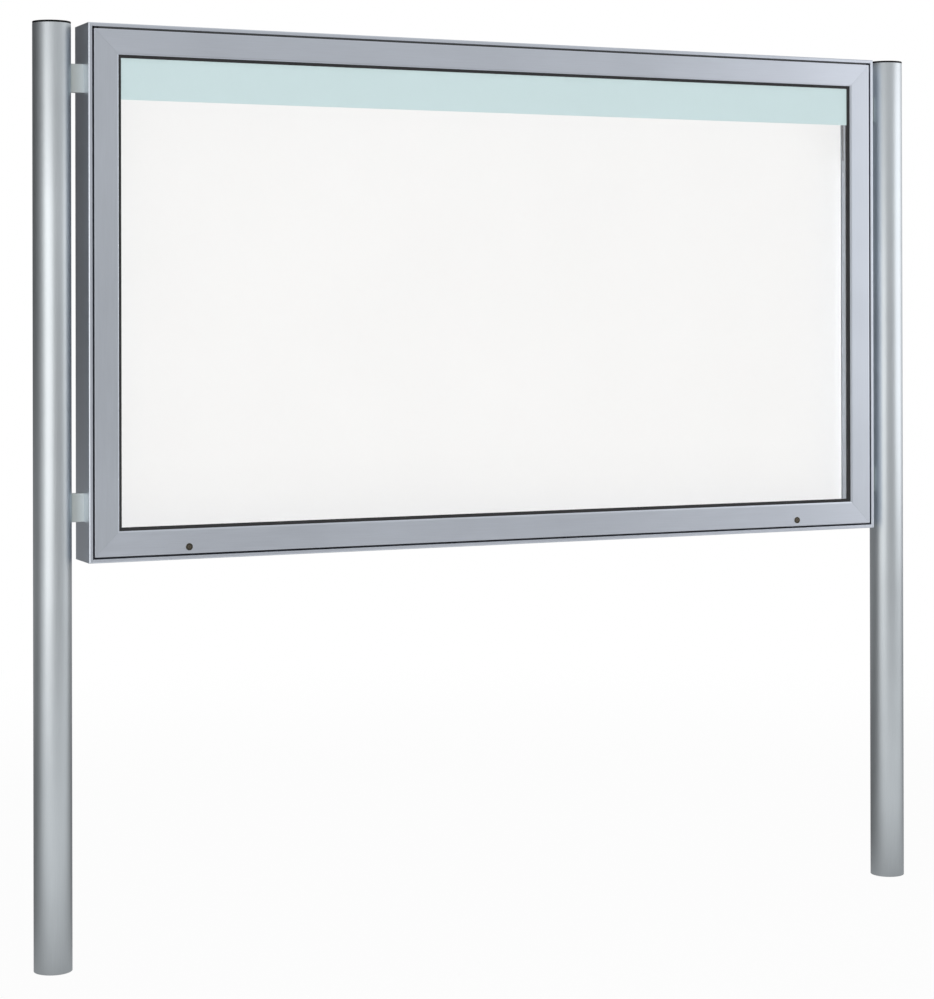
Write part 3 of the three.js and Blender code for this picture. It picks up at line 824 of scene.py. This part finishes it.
@dataclass
class Case(Assembly):
    """The four mitred case bars with their cleats, the back sheet and its screws, and the white panel."""

    edge: float = 0.0004
    chamfer: float = 0.0011
    rim: float = 0.0008
    ease: float = 0.001
    sheet_edge: float = 0.0003
    panel_edge: float = 0.0005
    seal_edge: float = 0.0006
    screw_radius: float = 0.0042
    screw_head: float = 0.0022
    screw_dome: float = 0.0012
    screw_lip: float = 0.0008
    screw_flat: float = 0.62
    socket_mouth: float = 0.36
    socket_floor: float = 0.32
    socket_wall: float = 0.0011
    socket_depth: float = 0.0013
    screw_steps: int = 24
    screw_inset: float = 0.014
    screws_across: int = 7
    screws_up: int = 4

    def screw(self, name: str, place: Vector) -> Piece:
        """Turns one pan-head screw with a socket, its head standing off the back sheet.

        Args:
            name: The piece's name.
            place: The middle of its seat.

        Returns:
            The screw.
        """
        radius, head = self.screw_radius, self.screw_head
        profile = [(0.0, 0.0), (radius, 0.0)]
        profile += arc((radius - self.screw_lip, head - self.screw_dome), self.screw_lip, 0, 60, 3)
        profile += [(radius * self.screw_flat, head), (radius * self.socket_mouth, head)]
        profile += [(radius * self.socket_floor, head - self.socket_wall), (0.0, head - self.socket_depth)]
        return self.bench.turned(name, profile, tuple(place), Axis.Y, self.screw_steps)

    def screw_places(self) -> list[Vector]:
        """Where the screws go, round the edge of the back sheet.

        Returns:
            The places.
        """
        low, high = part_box("back_panel")
        left, right = low.x + self.screw_inset, high.x - self.screw_inset
        down, up = low.z + self.screw_inset, high.z - self.screw_inset
        across = [left + (right - left) * i / (self.screws_across - 1) for i in range(self.screws_across)]
        rise = [down + (up - down) * i / (self.screws_up - 1) for i in range(1, self.screws_up - 1)]
        rows = [Vector((x, high.y, z)) for z in (down, up) for x in across]
        return rows + [Vector((x, high.y, z)) for x in (left, right) for z in rise]

    def bar(self, side: str) -> None:
        """Makes one bar of the case, with a broad chamfer along its front rim.

        Args:
            side: The case's side that it lies on.
        """
        outwards, centre = Vector(OUTWARDS[side]), middle("notice_panel")
        low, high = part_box(f"case_{side}")
        outer = Vector((high.x if outwards.x > 0 else low.x, low.y, high.z if outwards.z > 0 else low.z))

        def on_rim(place: Vector) -> bool:
            """Whether a corner of the bar lies on the chamfer of its front rim."""
            gap = place - outer
            return gap.y < self.chamfer and abs(gap.dot(outwards)) < self.chamfer

        def eased(place: Vector) -> Vector:
            """A corner of the rim's front edge moved inwards, which makes the chamfer broader."""
            if on_rim(place) and place.y < outer.y + SAME_PLACE:
                place.x -= math.copysign(self.ease, place.x - centre.x)
                place.z -= math.copysign(self.ease, place.z - centre.z)
            return place

        run, finish = (Axis.X, self.finishes.profile_x) if outwards.z else (Axis.Z, self.finishes.profile_z)
        self.bench.bar(f"case_{side}", finish, run, self.edge, self.rim, on_rim, eased)

    def build(self) -> None:
        """Makes the case's pieces."""
        for side in OUTWARDS:
            self.bar(side)
        for corner in CORNERS:
            self.bench.paint(f"case_cleat_{corner}", self.finishes.steel)
        self.bench.rounded("back_panel", self.finishes.sheet, self.sheet_edge)
        self.bench.rounded("notice_panel", self.finishes.enamel, self.panel_edge)
        self.bench.rounded("door_seal", self.finishes.rubber, self.seal_edge, 3)
        for number, place in enumerate(self.screw_places(), 1):
            piece = self.screw(f"back_screw_{number:02d}", place)
            self.bench.fit_on(piece, self.finishes.steel, "stand", "stainless_steel")


@dataclass
class Door(Assembly):
    """The door frame with its corner keys, and all that is glazed into it."""

    edge: float = 0.00015
    bevel_depth: float = 0.0015
    shown_depth: float = 0.0004
    glass_edge: float = 0.0006
    gasket_edge: float = 0.0005
    gasket_width: float = 0.0159
    set_back: float = 0.0013
    rear_edge: float = 0.0004

    def rear_gasket(self) -> None:
        """Makes the rear gasket, its free lip pressed flat behind the front one."""
        piece = self.bench.duplicate("gasket_rear")
        low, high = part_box("gasket_rear")
        centre, half = (low + high) / 2, (high - low) / 2
        self.bench.edit(piece)
        shape = bmesh.from_edit_mesh(piece.data)
        for corner in shape.verts:
            off = corner.co - centre
            for axis in (0, 2):
                if abs(half[axis] - abs(off[axis]) - self.gasket_width) < SAME_PLACE:
                    corner.co[axis] += math.copysign(self.set_back, off[axis])
        bmesh.update_edit_mesh(piece.data)
        self.bench.done()
        self.bench.soften(piece, self.rear_edge)
        self.bench.dress(piece, self.finishes.rubber, "gasket_rear")

    def build(self) -> None:
        """Makes the door's pieces."""
        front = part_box("door_rail_top")[0].y

        def flatter(place: Vector) -> Vector:
            """A corner of the bevel round the outside brought forward, which leaves a faint line of light."""
            if abs(place.y - front - self.bevel_depth) < SAME_PLACE:
                place.y = front + self.shown_depth
            return place

        rails, stiles = (Axis.X, self.finishes.profile_x), (Axis.Z, self.finishes.profile_z)
        for part, sides, (run, finish) in (("rail", ("top", "bottom"), rails), ("stile", ENDS, stiles)):
            for side in sides:
                self.bench.bar(f"door_{part}_{side}", finish, run, self.edge, moved=flatter)
                self.bench.bar(f"glazing_bead_{side}", finish, run, self.edge)
        for corner in CORNERS:
            self.bench.paint(f"door_key_{corner}", self.finishes.steel)
        self.bench.rounded("door_glass", self.finishes.glass, self.glass_edge)
        self.bench.rounded("gasket_front", self.finishes.rubber, self.gasket_edge, 3)
        self.rear_gasket()
        self.bench.paint("header_strip", self.finishes.film)


@dataclass
class Hinge(Assembly):
    """The continuous hinge in the line above the door."""

    edge: float = 0.00012
    least_angle: float = 50.0

    def build(self) -> None:
        """Rounds the knuckles and leaves, and gives the pin its finish."""
        for leaf in ("hinge_leaf_case", "hinge_leaf_door"):
            self.bench.rounded(leaf, self.finishes.dark, self.edge, 1, self.least_angle)
        self.bench.paint("hinge_pin", self.finishes.steel)


@dataclass
class Locks(Assembly):
    """The two cam locks in the bottom rail, and their keepers on the case."""

    bore: float = 0.0043
    mouth: float = 0.0004
    body: float = 0.006
    proud: float = 0.001
    lip: float = 0.0006
    plug_edge: float = 0.00025
    nut_edge: float = 0.0004
    plate_edge: float = 0.0003
    steps: int = 48

    def barrel(self, end: str) -> Piece:
        """Turns one lock body with its round-edged bezel.

        Args:
            end: left or right.

        Returns:
            The body.
        """
        low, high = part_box(f"lock_body_{end}")
        bezel, length = (high.x - low.x) / 2, high.y - low.y
        profile = [(self.bore, self.mouth), (self.bore + self.mouth, 0.0)]
        profile += arc((bezel - self.lip, self.lip), self.lip, -90, 0, 5)
        profile += [(bezel, self.proud), (self.body, self.proud), (self.body, length), (self.bore, length)]
        centre = middle(f"lock_body_{end}")
        return self.bench.turned(
            f"lock_barrel_{end}", profile, (centre.x, low.y, centre.z), Axis.Y, self.steps)

    def build(self) -> None:
        """Makes both locks and both keepers."""
        for end in ENDS:
            self.bench.dress(self.barrel(end), self.finishes.bronzed, f"lock_body_{end}")
            self.bench.rounded(f"lock_plug_{end}", self.finishes.brass, self.plug_edge)
            self.bench.rounded(f"lock_nut_{end}", self.finishes.steel, self.nut_edge)
            self.bench.rounded(f"lock_cam_{end}", self.finishes.steel, self.plate_edge)
            self.bench.rounded(f"striker_{end}", self.finishes.steel, self.plate_edge)


@dataclass
class Stays(Assembly):
    """The two gas stays: tube, rod and the brackets that carry them."""

    tube_start: float = 0.014
    tube_end: float = 0.150
    tube_radius: float = 0.0075
    rod_radius: float = 0.003
    rod_gap: float = 0.0003
    mouth_depth: float = 0.01
    shoulder: float = 0.0025
    eye_radius: float = 0.007
    eye_bore: float = 0.0038
    eye_half: float = 0.004
    eye_edge: float = 0.0008
    eye_steps: int = 32
    socket_radius: float = 0.004
    socket_length: float = 0.016
    socket_edge: float = 0.0005
    piston_start: float = 0.0205
    piston_radius: float = 0.0057
    piston: float = 0.005
    bracket_edge: float = 0.0004
    steps: int = 40

    def joint(self, name: str) -> dict:
        """The record's joint of that name."""
        return next(joint for joint in self.bench.frame["joints"] if joint["name"] == name)

    def hang(self, body: Piece, eye: Piece, end: str) -> Piece:
        """Joins a body and its eye, turns them to the stay's line and moves them to the case pivot.

        Args:
            body: The body, made along its own -Z, with the case pivot at its origin.
            eye: The eye, made in the same place.
            end: left or right.

        Returns:
            The joined piece.
        """
        piece = self.bench.joined(body, eye)
        line = Vector(self.joint(f"stay_{end}_slide")["axis"])
        piece.rotation_mode = "QUATERNION"
        piece.rotation_quaternion = Vector((0, 0, -1)).rotation_difference(line)
        piece.location = self.joint(f"stay_{end}_swing")["pos_m"]
        self.bench.settle(piece)
        return piece

    def eye(self, name: str, along: float) -> Piece:
        """Turns the ring at one end of a stay.

        Args:
            name: The piece's name.
            along: Its distance below the case pivot.

        Returns:
            The ring.
        """
        half, edge = self.eye_half, self.eye_edge
        profile = [(self.eye_bore, -half), (self.eye_radius - edge, -half), (self.eye_radius, edge - half)]
        profile += [(self.eye_radius, half - edge), (self.eye_radius - edge, half), (self.eye_bore, half)]
        return self.bench.turned(name, profile, (0.0, 0.0, -along), Axis.X, self.eye_steps)

    def tube(self, end: str) -> Piece:
        """Makes one stay's tube with rolled ends and its eye.

        Args:
            end: left or right.

        Returns:
            The tube.
        """
        start, stop, neck, rolled = self.tube_start, self.tube_end, self.rod_radius, self.shoulder
        mouth, inside = neck + self.rod_gap, stop - self.mouth_depth
        profile = [(0.0, self.eye_bore), (neck, self.eye_bore), (neck, start)]
        profile += arc((self.tube_radius - rolled, start + rolled), rolled, -90, 0, 4)
        profile += arc((self.tube_radius - rolled, stop - rolled), rolled, 0, 90, 4)
        profile += [(mouth, stop), (mouth, inside), (0.0, inside)]
        body = self.bench.turned(f"stay_cylinder_{end}", hung(profile), (0, 0, 0), Axis.Z, self.steps)
        return self.hang(body, self.eye(f"stay_tube_eye_{end}", 0.0), end)

    def rod(self, end: str) -> Piece:
        """Makes one stay's bright rod with its piston, socket and eye.

        Args:
            end: left or right.

        Returns:
            The rod.
        """
        pivot = Vector(self.joint(f"stay_{end}_swing")["pos_m"])
        length = pivot.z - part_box(f"stay_rod_{end}")[0].z - self.eye_radius
        LOG.info("stay_rod_%s is %.4f m between its eyes", end, length)
        first, last = self.piston_start, self.piston_start + self.piston
        socket, foot = length - self.socket_length, length - self.eye_bore
        profile = [(0.0, first), (self.piston_radius, first), (self.piston_radius, last)]
        profile += [(self.rod_radius, last), (self.rod_radius, socket)]
        profile += [(self.socket_radius, socket + self.socket_edge), (self.socket_radius, foot), (0.0, foot)]
        body = self.bench.turned(f"stay_piston_rod_{end}", hung(profile), (0, 0, 0), Axis.Z, self.steps)
        return self.hang(body, self.eye(f"stay_rod_eye_{end}", length), end)

    def build(self) -> None:
        """Makes both stays and their brackets."""
        for end in ENDS:
            self.bench.dress(self.tube(end), self.finishes.dark, f"stay_tube_{end}")
            self.bench.dress(self.rod(end), self.finishes.rod, f"stay_rod_{end}")
            for carrier in ("case", "door"):
                self.bench.rounded(f"stay_bracket_{carrier}_{end}", self.finishes.steel, self.bracket_edge)


class RoomTree(Tree):
    """The surroundings' node tree, worked out as plain sums on the direction that a ray leaves in."""

    def direction(self) -> tuple[Socket, ...]:
        """The three parts of the ray's direction."""
        generated = self.node("ShaderNodeTexCoord").outputs["Generated"]
        return tuple(self.node("ShaderNodeSeparateXYZ", generated).outputs)

    def step(self, value: Value, source: Pair, result: Pair = (0.0, 1.0)) -> Socket:
        """A soft step from one level to another while a value crosses a range."""
        return self.span(value, source, result, "SMOOTHSTEP")

    def finish(self, strength: Socket) -> None:
        """Makes the level a white light."""
        light = self.node("ShaderNodeBackground", WHITE, strength).outputs["Background"]
        self.node("ShaderNodeOutputWorld", light)


@dataclass(frozen=True)
class SoftBox:
    """A large soft light: where it stands, what it faces, its width and height, and its radiance."""

    name: str
    place: Point
    target: Point
    size: Pair
    radiance: float
    colour: Colour


@dataclass
class Studio:
    """The floor, the lights, the surroundings and the camera."""

    camera_place: Point = (-2.2217, -4.7130, 1.3004)
    yaw: float = 24.4515
    pitch: float = 0.1479
    roll: float = -0.1222
    focal_pixels: float = 2422.99
    centre_row: float = 306.0
    frame_height: int = 999
    sensor: float = 36.0
    clip: Pair = (0.05, 60.0)
    soft_boxes: tuple[SoftBox, ...] = (
        SoftBox("soft_box_left", (-1.96, -2.4, 1.3), (0.0, -2.0, 1.3), (3.3, 2.2), 1.18, (1.0, 0.972, 0.945)),
        SoftBox(
            "soft_box_right", (2.36, -0.95, 1.55), (0.43, -0.42, 1.45), (1.97, 1.9), 0.94, (1.0, 0.985, 1.0)),
    )
    shaded: tuple[str, ...] = ("door_glass_piece", "notice_panel_piece", "header_strip")
    key_strength: float = 2.65
    key_angle: float = 18.0
    key_azimuth: float = 22.0
    key_height: float = 9.0
    key_distance: float = 5.0
    aim_height: float = 1.3
    room_light: float = 0.22
    room_around: tuple[Pair, ...] = (
        (-180.0, 0.26), (-166.0, 0.10), (-150.0, 0.07), (-110.0, 0.12), (-90.0, 0.20), (-60.0, 0.48),
        (25.0, 0.48), (60.0, 0.54), (90.0, 0.57), (120.0, 0.54), (160.0, 0.40), (180.0, 0.26),
    )
    horizon: Pair = (-0.3, 0.3)
    low_and_high: Pair = (0.8, 1.25)
    overhead: float = 0.7
    overhead_from: Pair = (0.5, 0.85)
    white_cone: Pair = (10.0, 5.0)
    floor_size: float = 30.0
    floor_tone: float = 0.93
    floor_roughness: float = 0.95
    floor_fade: Pair = (1.6, 4.0)
    floor_white: Pair = (0.965, 1.0)
    # Glow levels along the floor's depth for mirrored rays: painted light, brighter just in front of the
    # object and darker behind it.
    floor_painted_glow: tuple[Pair, ...] = (
        (-6.0, 0.36), (-2.4, 0.38), (-1.1, 0.8), (-0.5, 0.75),
        (0.5, 0.18), (1.5, 0.18), (3.0, 0.34), (6.0, 0.34),
    )

    def camera(self) -> None:
        """Puts the camera where the photograph was taken from."""
        data = bpy.data.cameras.new("camera")
        data.sensor_width = self.sensor
        data.lens = self.focal_pixels * self.sensor / self.frame_height
        data.shift_y = (self.centre_row - self.frame_height / 2) / self.frame_height
        data.clip_start, data.clip_end = self.clip
        eye = bpy.data.objects.new("camera", data)
        bpy.context.scene.collection.objects.link(eye)
        yaw, pitch, roll = (math.radians(angle) for angle in (self.yaw, self.pitch, self.roll))
        forward = Vector((math.sin(yaw) * math.cos(pitch), math.cos(yaw) * math.cos(pitch), math.sin(pitch)))
        level = Vector((math.cos(yaw), -math.sin(yaw), 0.0))
        upright = level.cross(forward)
        right = level * math.cos(roll) + upright * math.sin(roll)
        turn = Matrix((right, right.cross(forward), -forward)).transposed()
        eye.matrix_world = Matrix.Translation(self.camera_place) @ turn.to_4x4()
        bpy.context.scene.camera = eye

    def lamp(self, name: str, kind: str, place: Vector, target: Vector) -> bpy.types.Object:
        """Adds a lamp that points at a target.

        Args:
            name: Its name.
            kind: AREA or SUN.
            place: Where it stands.
            target: What it points at.

        Returns:
            The lamp.
        """
        lamp = bpy.data.objects.new(name, bpy.data.lights.new(name, kind))
        bpy.context.scene.collection.objects.link(lamp)
        lamp.location = place
        lamp.rotation_mode = "QUATERNION"
        lamp.rotation_quaternion = (target - place).to_track_quat("-Z", "Y")
        return lamp

    def key(self) -> None:
        """Adds the broad soft key from beside the camera."""
        azimuth, height = math.radians(self.key_azimuth), math.radians(self.key_height)
        level = math.cos(height)
        towards = Vector((-math.sin(azimuth) * level, -math.cos(azimuth) * level, math.sin(height)))
        aim = Vector((0.0, 0.0, self.aim_height))
        lamp = self.lamp("key", "SUN", aim + towards * self.key_distance, aim)
        lamp.data.energy = self.key_strength
        lamp.data.angle = math.radians(self.key_angle)
        lamp.data.use_shadow = False
        lamp.visible_glossy = False

    def boxes(self) -> None:
        """Adds the soft boxes that the metal mirrors, and keeps them off the glass and what is behind it."""
        shaded = bpy.data.collections.new("shaded_from_soft_boxes")
        for name in self.shaded:
            shaded.objects.link(bpy.data.objects[name])
        for entry in shaded.collection_objects:
            entry.light_linking.link_state = "EXCLUDE"
        for box in self.soft_boxes:
            lamp = self.lamp(box.name, "AREA", Vector(box.place), Vector(box.target))
            lamp.light_linking.receiver_collection = shaded
            lamp.data.shape = "RECTANGLE"
            lamp.data.color = box.colour
            lamp.data.size, lamp.data.size_y = box.size
            lamp.data.energy = box.radiance * math.pi * box.size[0] * box.size[1]
            lamp.visible_diffuse = False
            lamp.visible_camera = False

    def floor(self) -> None:
        """Lays the plain pale floor, white to the camera but for the object's faint shadow, and glowing to
        mirrored rays with painted light, brighter in front of the object and darker behind it.
        """
        bpy.ops.object.select_all(action="DESELECT")
        bpy.ops.mesh.primitive_plane_add(size=self.floor_size, location=(0, 0, 0))
        plane = bpy.context.active_object
        plane.name = "floor"
        bench = NodeBench("pale_floor")
        tone = (*shade(EVEN, self.floor_tone), 1.0)
        matt = bench.principled(Base_Color=tone, Roughness=self.floor_roughness, Specular_IOR_Level=0.0)
        across = bench.node("ShaderNodeSeparateXYZ", bench.place()).outputs["Y"]
        away = bench.node("ShaderNodeVectorMath", bench.place(), operation="LENGTH").outputs["Value"]
        white = bench.span(away, self.floor_fade, self.floor_white, "SMOOTHSTEP")
        seen = bench.ray("Camera", "Transmission")
        # Mirrored rays see the floor glow at its painted light levels, and the camera sees it white.
        level = bench.mix(seen, bench.curve(across, self.floor_painted_glow), 1.0)
        share = bench.math("MAXIMUM", bench.math("MULTIPLY", seen, white), bench.ray("Glossy"))
        glow = bench.node("ShaderNodeEmission", WHITE, level).outputs["Emission"]
        bench.blend(share, matt, glow)
        plane.data.materials.append(bench.material)

    def surroundings(self) -> None:
        """White behind the object, and a grey room for the metal to mirror and for soft light."""
        world = bpy.data.worlds.new("studio")
        bpy.context.scene.world = world
        world.use_nodes = True
        world.cycles.sampling_method = "NONE"
        room = RoomTree(world.node_tree)
        x, y, z = room.direction()
        yaw = math.radians(self.yaw)
        ahead_x, ahead_y = (room.math("MULTIPLY", *pair) for pair in ((x, math.sin(yaw)), (y, math.cos(yaw))))
        half, soft = (math.radians(angle) for angle in self.white_cone)
        cone = (math.cos(half + soft), math.cos(half - soft))
        behind = room.step(room.math("ADD", ahead_x, ahead_y), cone)
        turn = room.math("ARCTAN2", x, room.math("MULTIPLY", y, -1.0))
        around = room.curve(turn, tuple((math.radians(angle), level) for angle, level in self.room_around))
        sides = room.math("MULTIPLY", around, room.step(z, self.horizon, self.low_and_high))
        mirrored = room.mix(room.step(z, self.overhead_from), sides, self.overhead)
        light = room.mix(room.ray("Glossy"), self.room_light, room.mix(behind, mirrored, 1.0))
        room.finish(room.mix(room.ray("Camera", "Transmission"), light, 1.0))

    def build(self) -> None:
        """Sets the stage."""
        bpy.context.scene.view_settings.view_transform = "Standard"
        self.floor()
        self.surroundings()
        self.key()
        self.boxes()
        self.camera()


def main() -> None:
    """Loads the solids, builds every sub-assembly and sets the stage."""
    logging.basicConfig(level=logging.INFO, format="%(message)s")
    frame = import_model()
    bench = Bench(frame)
    finishes = Finishes()
    for assembly in (Posts, Fixings, Case, Door, Hinge, Locks, Stays):
        assembly(bench, finishes).build()
    Studio().build()


if __name__ == "__main__":
    main()
